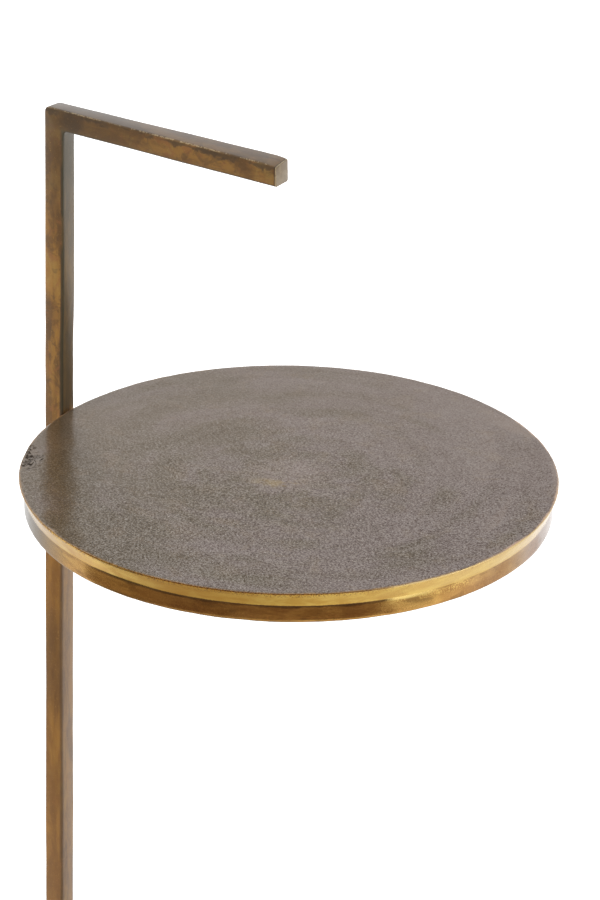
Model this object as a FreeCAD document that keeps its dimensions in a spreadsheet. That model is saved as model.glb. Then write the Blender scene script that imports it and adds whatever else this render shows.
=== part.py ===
import FreeCAD, Part
import os

import Sketcher

# Driving sizes in millimetres
SIZES = (
    # Heights, and the stem with its handle
    ("overall_height", 700, "floor to the handle's upper face"),
    ("handle_rise", 197, "tabletop face to the handle's upper face"),
    ("handle_reach", 165, "stem's outer face to the handle's tip"),
    ("bar_width", 12.7, "side of the square bar"),
    ("bar_edge_round", 1.1, "rounding of the bar's long edges"),
    ("elbow_outer_round", 2.6, "outside of the bend from stem to handle"),
    ("elbow_inner_round", 3.2, "inside of the bend from stem to handle"),
    # Tabletop casting
    ("top_diameter", 320, "tabletop, over its sharp upper edge"),
    ("top_thickness", 20, "tabletop face to the foot of its rim"),
    ("top_plate_thickness", 9, "plate inside the rim"),
    ("top_rim_width", 12, "wall of the turned-down rim"),
    ("band_height", 9, "polished bevel under the upper edge"),
    ("band_inset", 3.5, "how far the bevel leans in at its foot"),
    ("band_edge_round", 0.8, "rounding of the upper edge"),
    ("rim_foot_round", 1, "rounding of the rim's lower edges"),
    ("cast_round", 3, "fillet where the rim meets the plate"),
    # Base casting and its felt
    ("base_diameter", 300, "base, over its sharp upper edge"),
    ("base_thickness", 15, "base without its felt"),
    ("felt_thickness", 3, "felt sheet under the base"),
    ("felt_inset", 4, "base's lower edge to the edge of the felt"),
    # The two flat arms that are welded to the stem
    ("arm_length", 150, "stem's inner face to the end of an arm"),
    ("arm_width", 60, "wide part of an arm"),
    ("arm_thickness", 6, "flat bar of both arms"),
    ("arm_corner_round", 10, "corners at the end of an arm"),
    # Screws and washers
    ("screw_start", 60, "stem's inner face to the first pair of screws"),
    ("screw_spacing_along", 70, "first pair of screws to the second"),
    ("screw_spacing_across", 36, "between the two screws of a pair"),
    ("screw_diameter", 5, "thread of all screws"),
    ("screw_length", 12, "under the button head, or over all with a flat head"),
    ("tapped_depth", 7, "blind tapped holes in the castings"),
    ("button_head_diameter", 9.5, "heads under the tabletop"),
    ("button_head_height", 2.8, "heads under the tabletop"),
    ("flat_head_diameter", 9.2, "heads sunk in the base's arm"),
    ("socket_diameter", 3.4, "hexagon socket over its corners"),
    ("socket_depth", 1.5, "hexagon socket"),
    ("washer_diameter", 10, "washers under the tabletop"),
    ("washer_thickness", 1, "washers under the tabletop"),
    # Clearances, and how far a cutter runs past the metal
    ("seat_gap", 0.3, "round casting edges to the stem's flat face"),
    ("slot_gap", 0.5, "neck of an arm to the sides of its slot"),
    ("neck_gap", 8, "rim's inner wall to the widening of an arm"),
    ("channel_gap", 1, "base's arm to the sides of its channel"),
    ("channel_spare", 0.5, "base's arm to the underside of the base"),
    ("screw_hole_gap", 0.25, "screw to its hole in an arm or washer"),
    ("thread_gap", 0.05, "screw to its tapped hole"),
    ("sink_gap", 0.1, "flat head to its countersink"),
    ("overrun", 2, "cutters past the metal"),
)

# Shares of the sizes that they follow
BUTTON_CROWN_SHARE = 0.6
SCREW_SIDE_SHARES = (-0.5, 0.5)

# Whole turns and counts
FULL_TURN = 360
HEXAGON = 6
COUNTERSINK_ANGLE = 90

document = FreeCAD.newDocument("side_table")
sheet = document.addObject("Spreadsheet::Sheet", "Sizes")
for row, (size_name, size, meaning) in enumerate(SIZES, start=1):
    sheet.set("A%d" % row, meaning)
    sheet.set("B%d" % row, str(size))
    sheet.setAlias("B%d" % row, size_name)
document.recompute()

# Places that follow from the sizes, in the table's own frame: the origin is on the floor
# under the middle of the base, and the handle points along +X
INNER_FACE = "(-Sizes.base_diameter / 2 - Sizes.seat_gap)"
TOP_MIDDLE = "((Sizes.top_diameter - Sizes.base_diameter) / 2)"
TOP_FACE = "(Sizes.overall_height - Sizes.handle_rise)"
PLATE_UNDERSIDE = "(%s - Sizes.top_plate_thickness)" % TOP_FACE
NECK_LENGTH = "(Sizes.seat_gap + Sizes.band_inset + Sizes.top_rim_width + Sizes.neck_gap)"
FLARE_LENGTH = "((Sizes.arm_width - Sizes.bar_width) / 2)"
CHANNEL_DEPTH = "(Sizes.arm_thickness + Sizes.channel_spare)"
BASE_ARM_FLOOR = "(Sizes.felt_thickness + Sizes.channel_spare)"
FLAT_HEAD_HEIGHT = "((Sizes.flat_head_diameter - Sizes.screw_diameter) / 2)"


def measure(expression):
    """The number that an expression over the sheet stands for."""
    return float(sheet.evalExpression(expression))


def origin_plane(body, role):
    """One of a body's own three origin planes."""
    for feature in body.Origin.OriginFeatures:
        if feature.Role == role:
            return feature
    raise RuntimeError("no plane " + role)


def new_body(name, x_place="0", z_place="0"):
    """A body in the plane of symmetry, moved to its place by expressions."""
    body = document.addObject("PartDesign::Body", name)
    body.Label = name
    body.setExpression("Placement.Base.x", x_place)
    body.setExpression("Placement.Base.z", z_place)
    return body


def new_sketch(body, name, role, height="0"):
    """A sketch on an origin plane, or at a height over the horizontal one."""
    sketch = body.newObject("Sketcher::SketchObject", name)
    sketch.AttachmentSupport = [(origin_plane(body, role), "")]
    sketch.MapMode = "FlatFace"
    if height != "0":
        sketch.setExpression("AttachmentOffset.Base.z", height)
    return sketch


def place_point(sketch, label, curve, end, x_place, y_place):
    """Ties one point of a sketch to its place by two constraints."""
    for axis, kind, place in ((-2, "DistanceX", x_place), (-1, "DistanceY", y_place)):
        if place == "0":
            sketch.addConstraint(Sketcher.Constraint("PointOnObject", curve, end, axis))
            continue
        index = sketch.addConstraint(Sketcher.Constraint(kind, -1, 1, curve, end, measure(place)))
        constraint_name = "%s_%s" % (label, kind[-1].lower())
        sketch.renameConstraint(index, constraint_name)
        sketch.setExpression("Constraints." + constraint_name, place)


def draw_outline(sketch, corners):
    """A closed outline through named corners, each given by two expressions."""
    points = [FreeCAD.Vector(measure(x), measure(y), 0) for _, x, y in corners]
    count = len(points)
    for index in range(count):
        line = Part.LineSegment(points[index], points[(index + 1) % count])
        sketch.addGeometry(line, False)
    for index in range(count):
        following = (index + 1) % count
        sketch.addConstraint(Sketcher.Constraint("Coincident", index, 2, following, 1))
    for index, (label, x_place, y_place) in enumerate(corners):
        place_point(sketch, label, index, 1, x_place, y_place)


def draw_circle(sketch, label, x_place, y_place, radius):
    """A circle about a place, with a radius, all given by expressions."""
    centre = FreeCAD.Vector(measure(x_place), measure(y_place), 0)
    upward = FreeCAD.Vector(0, 0, 1)
    curve = sketch.addGeometry(Part.Circle(centre, upward, measure(radius)), False)
    place_point(sketch, label, curve, 3, x_place, y_place)
    index = sketch.addConstraint(Sketcher.Constraint("Radius", curve, measure(radius)))
    sketch.renameConstraint(index, label + "_radius")
    sketch.setExpression("Constraints.%s_radius" % label, radius)


def screw_places():
    """Name and place of the four screws, from the stem's inner face."""
    far = "(Sizes.screw_start + Sizes.screw_spacing_along)"
    places = []
    for pair, along in (("near", "Sizes.screw_start"), ("far", far)):
        for side, share in zip(("right", "left"), SCREW_SIDE_SHARES):
            across = "(%s * Sizes.screw_spacing_across)" % share
            places.append(("%s_%s" % (pair, side), along, across))
    return places


def draw_screw_circles(sketch, shift, radius):
    """The four screw holes in a sketch whose origin lies a shift before the inner face."""
    for label, along, across in screw_places():
        draw_circle(sketch, label, "(%s + %s)" % (along, shift), across, radius)


def turn(body, sketch, name):
    """The sketch turned once about the upright axis."""
    solid = body.newObject("PartDesign::Revolution", name)
    solid.Profile = sketch
    solid.ReferenceAxis = (sketch, ["V_Axis"])
    solid.Angle = FULL_TURN
    return solid


def pad(body, sketch, name, length, both_ways=False):
    """The sketch pushed out by a length."""
    solid = body.newObject("PartDesign::Pad", name)
    solid.Profile = sketch
    solid.setExpression("Length", length)
    if both_ways:
        solid.SideType = "Symmetric"
    return solid


def cut_up(body, sketch, name, depth):
    """The sketch cut upwards out of the body, which has to lose metal by it."""
    document.recompute()
    before = body.Shape.Volume
    pocket = body.newObject("PartDesign::Pocket", name)
    pocket.Profile = sketch
    pocket.setExpression("Length", depth)
    pocket.Reversed = True
    document.recompute()
    if body.Shape.Volume >= before:
        raise RuntimeError(name + " cuts nothing")
    return pocket


def round_edges(body, name, radius, chosen):
    """A fillet on the edges of the body's last feature that a test picks."""
    document.recompute()
    feature = body.Tip
    edges = feature.Shape.Edges
    names = ["Edge%d" % index for index, edge in enumerate(edges, start=1) if chosen(edge)]
    if not names:
        raise RuntimeError(name + " finds no edge")
    fillet = body.newObject("PartDesign::Fillet", name)
    fillet.Base = (feature, names)
    fillet.setExpression("Radius", radius)
    return fillet


def round_ring(body, name, radius, ring_radius, height):
    """A fillet on the circular edge of a given radius and height."""
    tolerance = 1e-4

    def on_ring(edge):
        if not isinstance(edge.Curve, Part.Circle):
            return False
        same_radius = abs(edge.Curve.Radius - measure(ring_radius)) < tolerance
        same_height = abs(edge.Curve.Center.z - measure(height)) < tolerance
        return same_radius and same_height

    return round_edges(body, name, radius, on_ring)


def make_tabletop():
    """Cast disc: a plate with a turned-down rim, slotted for its arm."""
    radius = "(Sizes.top_diameter / 2)"
    wall = "(%s - Sizes.band_inset)" % radius
    hollow = "(%s - Sizes.top_rim_width)" % wall
    foot = "(-Sizes.top_thickness)"
    body = new_body("tabletop", TOP_MIDDLE, TOP_FACE)
    section = new_sketch(body, "tabletop_section", "XZ_Plane")
    draw_outline(section, (
        ("middle_top", "0", "0"),
        ("upper_edge", radius, "0"),
        ("band_foot", wall, "(-Sizes.band_height)"),
        ("rim_foot_outer", wall, foot),
        ("rim_foot_inner", hollow, foot),
        ("plate_corner", hollow, "(-Sizes.top_plate_thickness)"),
        ("middle_under", "0", "(-Sizes.top_plate_thickness)"),
    ))
    turn(body, section, "tabletop_disc")
    round_ring(body, "tabletop_upper_round", "Sizes.band_edge_round", radius, "0")
    round_ring(body, "tabletop_outer_foot_round", "Sizes.rim_foot_round", wall, foot)
    round_ring(body, "tabletop_inner_foot_round", "Sizes.rim_foot_round", hollow, foot)
    round_ring(body, "tabletop_cast_round", "Sizes.cast_round", hollow, "(-Sizes.top_plate_thickness)")

    half_slot = "(Sizes.bar_width / 2 + Sizes.slot_gap)"
    slot = new_sketch(body, "tabletop_slot", "XY_Plane", foot)
    slot_start = "(-%s - Sizes.overrun)" % radius
    slot_end = "(-%s + Sizes.cast_round)" % hollow
    draw_outline(slot, (
        ("start_right", slot_start, "(-%s)" % half_slot),
        ("end_right", slot_end, "(-%s)" % half_slot),
        ("end_left", slot_end, half_slot),
        ("start_left", slot_start, half_slot),
    ))
    cut_up(body, slot, "tabletop_slot_cut", "Sizes.top_thickness - Sizes.top_plate_thickness")

    holes = new_sketch(body, "tabletop_holes", "XY_Plane", "-Sizes.top_plate_thickness")
    face_shift = "(-%s - Sizes.seat_gap)" % radius
    draw_screw_circles(holes, face_shift, "(Sizes.screw_diameter / 2 + Sizes.thread_gap)")
    cut_up(body, holes, "tabletop_holes_cut", "Sizes.tapped_depth")
    return body


def arm_corners(inner_face, outline_start, spread):
    """Plan of an arm that leaves the stem at its inner face, widened by a clearance."""
    half_neck = "(Sizes.bar_width / 2 + %s)" % spread
    half_arm = "(Sizes.arm_width / 2 + %s)" % spread
    neck_end = "(%s + %s)" % (inner_face, NECK_LENGTH)
    flare_end = "(%s + %s)" % (neck_end, FLARE_LENGTH)
    arm_end = "(%s + Sizes.arm_length + %s)" % (inner_face, spread)
    right_side = (
        ("start_right", outline_start, "(-%s)" % half_neck),
        ("neck_right", neck_end, "(-%s)" % half_neck),
        ("flare_right", flare_end, "(-%s)" % half_arm),
        ("end_right", arm_end, "(-%s)" % half_arm),
    )
    left_side = (
        ("end_left", arm_end, half_arm),
        ("flare_left", flare_end, half_arm),
        ("neck_left", neck_end, half_neck),
        ("start_left", outline_start, half_neck),
    )
    return right_side + left_side


def upright_edge_at(place):
    """A test for the straight upright edges at one place along X."""
    tolerance = 1e-4

    def chosen(edge):
        if not isinstance(edge.Curve, Part.Line):
            return False
        start, end = (vertex.Point for vertex in edge.Vertexes)
        upright = abs(start.x - end.x) < tolerance and abs(start.y - end.y) < tolerance
        return upright and abs(start.x - measure(place)) < tolerance

    return chosen


def make_arm(name, floor, countersunk):
    """Flat steel arm: a neck as wide as the stem that widens to carry four screws."""
    body = new_body(name, INNER_FACE, floor)
    plan = new_sketch(body, name + "_plan", "XY_Plane")
    draw_outline(plan, arm_corners("0", "0", "0"))
    pad(body, plan, name + "_bar", "Sizes.arm_thickness")
    round_edges(body, name + "_corners", "Sizes.arm_corner_round", upright_edge_at("Sizes.arm_length"))
    document.recompute()

    before = body.Shape.Volume
    circles = new_sketch(body, name + "_holes", "XY_Plane")
    radius = "(Sizes.screw_diameter / 2 + Sizes.screw_hole_gap)"
    draw_screw_circles(circles, "0", radius)
    document.recompute()
    holes = body.newObject("PartDesign::Hole", name + "_screw_holes")
    holes.Profile = circles
    holes.Reversed = True
    holes.DepthType = "ThroughAll"
    holes.setExpression("Diameter", "%s * 2" % radius)
    document.recompute()
    if countersunk:
        holes.HoleCutType = "Countersink"
        holes.HoleCutCustomValues = True
        holes.HoleCutCountersinkAngle = COUNTERSINK_ANGLE
        holes.setExpression("HoleCutDiameter", "Sizes.flat_head_diameter + Sizes.sink_gap * 2")
        document.recompute()
    if body.Shape.Volume >= before:
        raise RuntimeError(name + " has no holes")
    return body


def make_stem():
    """Square bar from the base to the handle's tip, bent once at a right angle."""
    outer_face = "(%s - Sizes.bar_width)" % INNER_FACE
    tip = "(%s + Sizes.handle_reach)" % outer_face
    under_handle = "(Sizes.overall_height - Sizes.bar_width)"
    body = new_body("stem")
    side = new_sketch(body, "stem_side", "XZ_Plane")
    draw_outline(side, (
        ("foot_outer", outer_face, "Sizes.felt_thickness"),
        ("foot_inner", INNER_FACE, "Sizes.felt_thickness"),
        ("elbow_inner", INNER_FACE, under_handle),
        ("tip_lower", tip, under_handle),
        ("tip_upper", tip, "Sizes.overall_height"),
        ("elbow_outer", outer_face, "Sizes.overall_height"),
    ))
    pad(body, side, "stem_bar", "Sizes.bar_width", both_ways=True)

    tolerance = 1e-4

    def elbow_edge(face, height):
        def chosen(edge):
            middle = edge.CenterOfMass
            spans_bar = abs(edge.Length - measure("Sizes.bar_width")) < tolerance
            at_face = abs(middle.x - measure(face)) < tolerance
            at_height = abs(middle.z - measure(height)) < tolerance
            return spans_bar and at_face and at_height
        return chosen

    inner_edge = elbow_edge(INNER_FACE, under_handle)
    outer_edge = elbow_edge(outer_face, "Sizes.overall_height")
    round_edges(body, "stem_inner_elbow", "Sizes.elbow_inner_round", inner_edge)
    round_edges(body, "stem_outer_elbow", "Sizes.elbow_outer_round", outer_edge)
    document.recompute()

    def along_bar(edge):
        """Edges in the two sides of the bar, or between a side and an end."""
        half_bar = measure("Sizes.bar_width") / 2
        return all(abs(abs(vertex.Point.y) - half_bar) < tolerance for vertex in edge.Vertexes) \
            and abs(abs(edge.CenterOfMass.y) - half_bar) < tolerance

    round_edges(body, "stem_long_edges", "Sizes.bar_edge_round", along_bar)
    return body


def make_base():
    """Cast weight: a solid disc with a channel for its arm in the underside."""
    radius = "(Sizes.base_diameter / 2)"
    wall = "(%s - Sizes.band_inset)" % radius
    height = "Sizes.base_thickness"
    body = new_body("base", "0", "Sizes.felt_thickness")
    section = new_sketch(body, "base_section", "XZ_Plane")
    draw_outline(section, (
        ("middle_under", "0", "0"),
        ("foot", wall, "0"),
        ("band_foot", wall, "(Sizes.base_thickness - Sizes.band_height)"),
        ("upper_edge", radius, height),
        ("middle_top", "0", height),
    ))
    turn(body, section, "base_disc")
    round_ring(body, "base_upper_round", "Sizes.band_edge_round", radius, height)
    round_ring(body, "base_foot_round", "Sizes.rim_foot_round", wall, "0")

    channel = new_sketch(body, "base_channel", "XY_Plane")
    channel_start = "(%s - Sizes.overrun)" % INNER_FACE
    draw_outline(channel, arm_corners(INNER_FACE, channel_start, "Sizes.channel_gap"))
    cut_up(body, channel, "base_channel_cut", CHANNEL_DEPTH)

    holes = new_sketch(body, "base_holes", "XY_Plane", CHANNEL_DEPTH)
    draw_screw_circles(holes, INNER_FACE, "(Sizes.screw_diameter / 2 + Sizes.thread_gap)")
    cut_up(body, holes, "base_holes_cut", "Sizes.tapped_depth")
    return body


def make_felt():
    """Round felt sheet that the table stands on."""
    radius = "(Sizes.base_diameter / 2 - Sizes.band_inset - Sizes.felt_inset)"
    body = new_body("base_felt")
    sheet_plan = new_sketch(body, "felt_plan", "XY_Plane")
    draw_circle(sheet_plan, "felt", "0", "0", radius)
    pad(body, sheet_plan, "felt_sheet", "Sizes.felt_thickness")
    return body


def place(solid, x_place, y_place, z_place):
    """Moves a primitive to its place by expressions."""
    solid.setExpression("Placement.Base.x", x_place)
    solid.setExpression("Placement.Base.y", y_place)
    solid.setExpression("Placement.Base.z", z_place)


def new_cylinder(name, radius, height, where):
    """An upright cylinder over a place."""
    solid = document.addObject("Part::Cylinder", name)
    solid.setExpression("Radius", radius)
    solid.setExpression("Height", height)
    place(solid, *where)
    return solid


def new_cone(name, lower_radius, upper_radius, height, where):
    """An upright cone over a place."""
    solid = document.addObject("Part::Cone", name)
    solid.setExpression("Radius1", lower_radius)
    solid.setExpression("Radius2", upper_radius)
    solid.setExpression("Height", height)
    place(solid, *where)
    return solid


def cut_socket(name, fastener, along, across, depth):
    """A hexagon socket in the lower face of a screw head."""
    socket = document.addObject("Part::Prism", name + "_socket")
    socket.Polygon = HEXAGON
    socket.setExpression("Circumradius", "Sizes.socket_diameter / 2")
    socket.setExpression("Height", "Sizes.socket_depth + Sizes.overrun")
    place(socket, along, across, "-(%s) - Sizes.overrun" % depth)
    finished = document.addObject("Part::Cut", name)
    finished.Base = fastener
    finished.Tool = socket
    return finished


def group(name, members, height):
    """Identical fasteners as one sub-part of separate solids."""
    compound = document.addObject("Part::Compound", name)
    compound.Label = name
    compound.Links = members
    place(compound, INNER_FACE, "0", height)
    return compound


def make_top_screws():
    """Four button-head screws, up through washers and arm into the tabletop."""
    members = []
    head_radius = "Sizes.button_head_diameter / 2"
    for label, along, across in screw_places():
        name = "top_screw_" + label
        shank = new_cylinder(name + "_shank", "Sizes.screw_diameter / 2", "Sizes.screw_length",
                             (along, across, "0"))
        crown = "%s * %s" % (head_radius, BUTTON_CROWN_SHARE)
        head = new_cone(name + "_head", crown, head_radius, "Sizes.button_head_height",
                        (along, across, "-Sizes.button_head_height"))
        whole = document.addObject("Part::Fuse", name + "_whole")
        whole.Base = head
        whole.Tool = shank
        members.append(cut_socket(name, whole, along, across, "Sizes.button_head_height"))
    seat = "%s - Sizes.arm_thickness - Sizes.washer_thickness" % PLATE_UNDERSIDE
    return group("top_screws", members, seat)


def make_top_washers():
    """Four washers between the heads and the tabletop's arm."""
    members = []
    for label, along, across in screw_places():
        name = "top_washer_" + label
        disc = new_cylinder(name + "_disc", "Sizes.washer_diameter / 2", "Sizes.washer_thickness",
                            (along, across, "0"))
        bore = new_cylinder(name + "_bore", "Sizes.screw_diameter / 2 + Sizes.screw_hole_gap",
                            "Sizes.washer_thickness + Sizes.overrun * 2",
                            (along, across, "-Sizes.overrun"))
        ring = document.addObject("Part::Cut", name)
        ring.Base = disc
        ring.Tool = bore
        members.append(ring)
    seat = "%s - Sizes.arm_thickness - Sizes.washer_thickness" % PLATE_UNDERSIDE
    return group("top_washers", members, seat)


def make_base_screws():
    """Four flat-head screws, sunk in the base's arm and tapped into the base."""
    members = []
    for label, along, across in screw_places():
        name = "base_screw_" + label
        shank = new_cylinder(name + "_shank", "Sizes.screw_diameter / 2", "Sizes.screw_length",
                             (along, across, "0"))
        head = new_cone(name + "_head", "Sizes.flat_head_diameter / 2", "Sizes.screw_diameter / 2",
                        FLAT_HEAD_HEIGHT, (along, across, "0"))
        whole = document.addObject("Part::Fuse", name + "_whole")
        whole.Base = head
        whole.Tool = shank
        members.append(cut_socket(name, whole, along, across, "0"))
    return group("base_screws", members, BASE_ARM_FLOOR)


pieces = [
    make_tabletop(),
    make_stem(),
    make_arm("top_arm", "%s - Sizes.arm_thickness" % PLATE_UNDERSIDE, countersunk=False),
    make_top_screws(),
    make_top_washers(),
    make_base(),
    make_arm("base_arm", BASE_ARM_FLOOR, countersunk=True),
    make_base_screws(),
    make_felt(),
]
document.recompute()

for thing in document.Objects:
    if "Invalid" in thing.State or "Error" in thing.State:
        raise RuntimeError("%s is %s" % (thing.Name, thing.State))
for piece in pieces:
    if piece.Shape.isNull() or not piece.Shape.isValid():
        raise RuntimeError(piece.Label + " has no valid shape")

os.makedirs("parts", exist_ok=True)
for piece in pieces:
    piece.Shape.exportStep("parts/%s.step" % piece.Label)
    box = piece.Shape.optimalBoundingBox()
    corners = (box.XMin, box.XMax, box.YMin, box.YMax, box.ZMin, box.ZMax)
    print(piece.Label, len(piece.Shape.Solids), "solids", ["%.2f" % corner for corner in corners])
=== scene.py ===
import math

import bmesh
import bpy
from mathutils import Matrix, Vector


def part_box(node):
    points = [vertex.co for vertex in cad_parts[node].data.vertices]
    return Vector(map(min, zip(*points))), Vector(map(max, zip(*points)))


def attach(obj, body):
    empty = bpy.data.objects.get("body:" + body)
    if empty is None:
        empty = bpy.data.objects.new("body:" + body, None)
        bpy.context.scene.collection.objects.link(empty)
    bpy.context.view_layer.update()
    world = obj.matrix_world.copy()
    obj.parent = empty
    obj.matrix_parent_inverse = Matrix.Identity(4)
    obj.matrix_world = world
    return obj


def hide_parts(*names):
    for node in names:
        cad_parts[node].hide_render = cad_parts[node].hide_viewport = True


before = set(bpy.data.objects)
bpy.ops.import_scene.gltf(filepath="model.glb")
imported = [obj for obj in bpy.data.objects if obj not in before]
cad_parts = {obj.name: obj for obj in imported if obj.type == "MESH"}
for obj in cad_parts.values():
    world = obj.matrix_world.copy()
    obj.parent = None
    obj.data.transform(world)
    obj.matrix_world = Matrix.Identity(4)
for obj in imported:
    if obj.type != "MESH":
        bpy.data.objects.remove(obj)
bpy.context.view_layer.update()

scene = bpy.context.scene

# Sizes of the castings in metres, with each casting's place read from its solid
TOP_RADIUS = 0.160
BASE_RADIUS = 0.150
BAND_HEIGHT = 0.009
BAND_INSET = 0.0035
RIM_WIDTH = 0.012
PLATE_THICKNESS = 0.009
EDGE_ROUND = 0.00117
BAND_ROUND = 0.0005
FOOT_ROUND = 0.001
CAST_ROUND = 0.003

# Sizes of the square bar, the arms, their screws and the weld bead
BAR_WIDTH = 0.0127
BAR_ROUND = 0.0011
TIP_ROUND = 0.0005
OUTER_ELBOW = 0.0034
INNER_ELBOW = 0.0032
NECK_LENGTH = 0.0238
ARM_WIDTH = 0.060
ARM_CORNER = 0.010
ARM_EASE = 0.0004
CHANNEL_GAP = 0.001
SLOT_WIDTH = 0.0137
SLOT_LENGTH = 0.0175
SLOT_DEPTH = 0.013
SCREW_PLACES = ((0.060, -0.018, 0), (0.060, 0.018, 0), (0.130, -0.018, 0), (0.130, 0.018, 0))
TAP_RADIUS = 0.00255
TAP_DEPTH = 0.007
ARM_HOLE_RADIUS = 0.00275
HEAD_HEIGHT = 0.0028
SOCKET_RADIUS = 0.0017
SOCKET_DEPTH = 0.0015
BEAD_RADIUS = 0.0019
BEAD_LENGTH = 0.0105
RIPPLE_STEP = 0.00105

# How far a cutter reaches past a face, how near a point lies to a place that it counts as in
# it, and how near two points lie that they are one
OVERCUT = 0.001
NEAR = 0.0001
SAME = 0.00001

# Width and depth of the lumps in a piece's skin, coarse and fine
CAST_LUMPS = ((0.030, 0.0004), (0.009, 0.00022))
BAR_LUMPS = ((0.045, 0.0006), (0.011, 0.00016))

# How far the hand-bent handle strays upwards, at its bend and at its tip, how far below the
# bend the column gives way with it, and how far the column swells inwards over which heights
FRONT_LIFT = (-0.0001, 0.0009)
BACK_LIFT = (-0.0014, 0.0027)
UNDER_LIFT = (-0.0011, 0.0003)
LIFT_LIMIT = 0.003
BEND_REACH = 0.090
SWELL = 0.0007
SWELL_START = (0.545, 0.575)
SWELL_END = (0.685, 0.692)

# How far the upper edge drops at the handle's tip, and where behind the tip
TIP_DROPS = ((0, -0.0008), (0.0043, -0.0003))

top_low, top_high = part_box("tabletop")
stem_low, stem_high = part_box("stem")
arm_low, arm_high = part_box("top_arm")
base_low, base_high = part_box("base")
felt_low, felt_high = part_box("base_felt")
washer_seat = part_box("top_washers")[0].z
channel_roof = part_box("base_arm")[1].z

TOP_MIDDLE = (top_low.x + top_high.x) / 2
INNER_FACE = stem_low.x + BAR_WIDTH
UNDER_HANDLE = stem_high.z - BAR_WIDTH
FELT_RADIUS = felt_high.x

# The way in which the face was rubbed, which draws out its grain, and the way across it
RUBBED_TURN = math.radians(-57)
CROSS_TURN = RUBBED_TURN + math.pi / 2

# The torn patch of skin near the rim of the tabletop's face: its middle across and along
# the rubbing, seen from the face's middle, and its half width in both directions
PATCH_MIDDLE = (-0.1540, -0.0205)
PATCH_SIZE = (0.0080, 0.0175)


def choose(*pieces):
    """Closes what is open for modelling, picks some pieces and makes the first one active."""
    if bpy.context.mode != "OBJECT":
        bpy.ops.object.mode_set(mode="OBJECT")
    bpy.ops.object.select_all(action="DESELECT")
    for piece in pieces:
        piece.select_set(True)
    if pieces:
        bpy.context.view_layer.objects.active = pieces[0]


def new_primitive(name, add, **sizes):
    """A primitive at its size and place, open for modelling."""
    choose()
    add(**sizes)
    piece = bpy.context.object
    piece.name = name
    piece.data.name = name
    bpy.ops.object.mode_set(mode="EDIT")
    return piece


def settle(piece):
    """Closes a piece and puts its object at the origin, with its place in its mesh."""
    choose(piece)
    bpy.ops.object.transform_apply(location=True, rotation=True, scale=True)


def pick(kind, wanted):
    """Selects the vertices, edges or faces that a test on their place and shape allows."""
    bpy.ops.mesh.select_mode(type=kind)
    bpy.ops.mesh.select_all(action="DESELECT")
    piece = bpy.context.object
    shape = bmesh.from_edit_mesh(piece.data)
    place = piece.matrix_world
    for part in {"VERT": shape.verts, "EDGE": shape.edges, "FACE": shape.faces}[kind]:
        corners = [part] if kind == "VERT" else part.verts
        middle = place @ (sum((corner.co for corner in corners), Vector()) / len(corners))
        if wanted(part, middle):
            part.select_set(True)
    shape.select_flush_mode()
    bmesh.update_edit_mesh(piece.data)


def bevel_picked(width, segments, affect="EDGES"):
    bpy.ops.mesh.bevel(offset=width, segments=segments, affect=affect, clamp_overlap=True)


def extrude(*step):
    """Draws the picked faces out by one step."""
    bpy.ops.mesh.extrude_region_move(TRANSFORM_OT_translate={"value": step})


def close_seams():
    """Merges doubled points and turns all faces outwards."""
    bpy.ops.mesh.select_all(action="SELECT")
    bpy.ops.mesh.remove_doubles(threshold=SAME)
    bpy.ops.mesh.normals_make_consistent(inside=False)


def turned(name, middle_x, floor, outline, steps, closed=False):
    """A body drawn from one point as half an outline and spun about its upright axis."""
    radius, height = outline[0]
    piece = new_primitive(name, bpy.ops.mesh.primitive_plane_add, size=0.001,
                          location=(middle_x + radius, 0, floor + height))
    bpy.ops.mesh.select_mode(type="VERT")
    bpy.ops.mesh.select_all(action="SELECT")
    bpy.ops.mesh.merge(type="CENTER")
    stations = outline[1:] + (outline[:1] if closed else ())
    for next_radius, next_height in stations:
        step = (next_radius - radius, 0, next_height - height)
        bpy.ops.mesh.extrude_vertices_move(TRANSFORM_OT_translate={"value": step})
        radius, height = next_radius, next_height
    bpy.ops.mesh.select_all(action="SELECT")
    bpy.ops.mesh.remove_doubles(threshold=SAME)
    bpy.ops.mesh.select_all(action="SELECT")
    bpy.ops.mesh.spin(steps=steps, angle=math.tau, center=(middle_x, 0, floor), axis=(0, 0, 1))
    close_seams()
    return piece


def finish_with(piece, kind, **settings):
    """Adds a modifier to a piece and applies it."""
    choose(piece)
    modifier = piece.modifiers.new(kind.lower(), kind)
    for name, value in settings.items():
        setattr(modifier, name, value)
    bpy.ops.object.modifier_apply(modifier=modifier.name)


def cut_from(piece, cutter):
    """Cuts one shape out of a piece and throws the cutter away."""
    finish_with(piece, "BOOLEAN", operation="DIFFERENCE", object=cutter, solver="EXACT")
    bpy.data.objects.remove(cutter, do_unlink=True)


def roughen(piece, grain, depth, group="", kind="CLOUDS"):
    """Moves a piece's skin in and out by a small cast or hammered unevenness."""
    texture = bpy.data.textures.new(piece.name + "_unevenness", kind)
    texture.noise_scale = grain
    if kind == "VORONOI":
        texture.weight_1 = -1
        texture.weight_2 = 1
        texture.noise_intensity = 1.4
    finish_with(piece, "DISPLACE", texture=texture, texture_coords="LOCAL", strength=depth,
                mid_level=0.5, vertex_group=group)


def weigh(piece, name, weight):
    """A vertex group whose weights follow from the place of each point."""
    group = piece.vertex_groups.new(name=name)
    for point in piece.data.vertices:
        share = weight(point.co)
        if share > 0:
            group.add([point.index], share, "REPLACE")
    return name


def smooth(piece, degrees):
    choose(piece)
    bpy.ops.object.shade_smooth_by_angle(angle=math.radians(degrees))


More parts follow.
